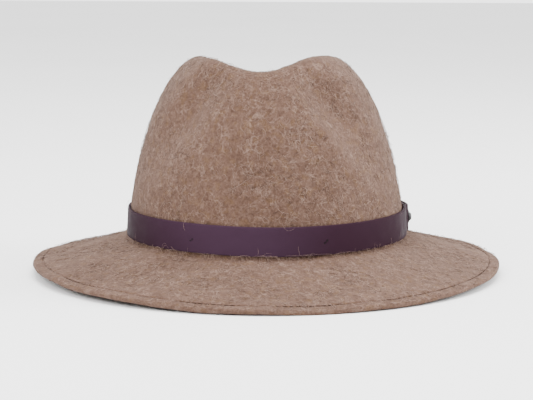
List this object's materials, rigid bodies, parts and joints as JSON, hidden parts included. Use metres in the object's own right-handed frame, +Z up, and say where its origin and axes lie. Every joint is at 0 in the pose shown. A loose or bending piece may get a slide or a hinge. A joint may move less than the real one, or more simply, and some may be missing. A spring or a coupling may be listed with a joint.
{
  "type": "fedora hat",
  "caption": "Wool-felt fedora with a centre-dented, front-pinched crown, a turned-under stitched brim, a smooth leather strap with a dark stud, a leather sweatband and a satin lining.",
  "frame": {"origin": "on the table that the hat stands on, under the middle of the brim's outline", "axes": "+Z up, -Y the way the hat's front faces, +X the wearer's left"},
  "size_m": [0.302, 0.3318, 0.1405],
  "materials": {
    "heather_felt": "soft wool felt, heathered tan",
    "edge_thread": "matt sewing thread",
    "spring_wire": "plain steel",
    "brown_leather": "smooth satin leather, dark aubergine brown",
    "dark_metal": "blackened, low gloss",
    "tack_thread": "waxed thread",
    "sweatband_leather": "matt lining leather",
    "reed_plastic": "plain",
    "seam_tape": "woven tape",
    "satin_lining": "satin",
    "label_cloth": "woven, blank"
  },
  "bodies": {
    "root": {"felt_body": "heather_felt", "brim_edge_stitching": "edge_thread", "brim_wire": "spring_wire", "wire_joiner": "spring_wire", "hatband_strap": "brown_leather", "band_stud": "dark_metal", "band_tacks": "tack_thread", "sweatband": "sweatband_leather", "sweatband_reed": "reed_plastic", "reed_tape": "seam_tape", "sweatband_stitching": "tack_thread", "sweatband_back_tape": "seam_tape", "sweatband_bow": "seam_tape", "lining_tip": "satin_lining", "lining_wall": "satin_lining", "lining_piping": "satin_lining", "size_label": "label_cloth"}
  },
  "joints": []
}
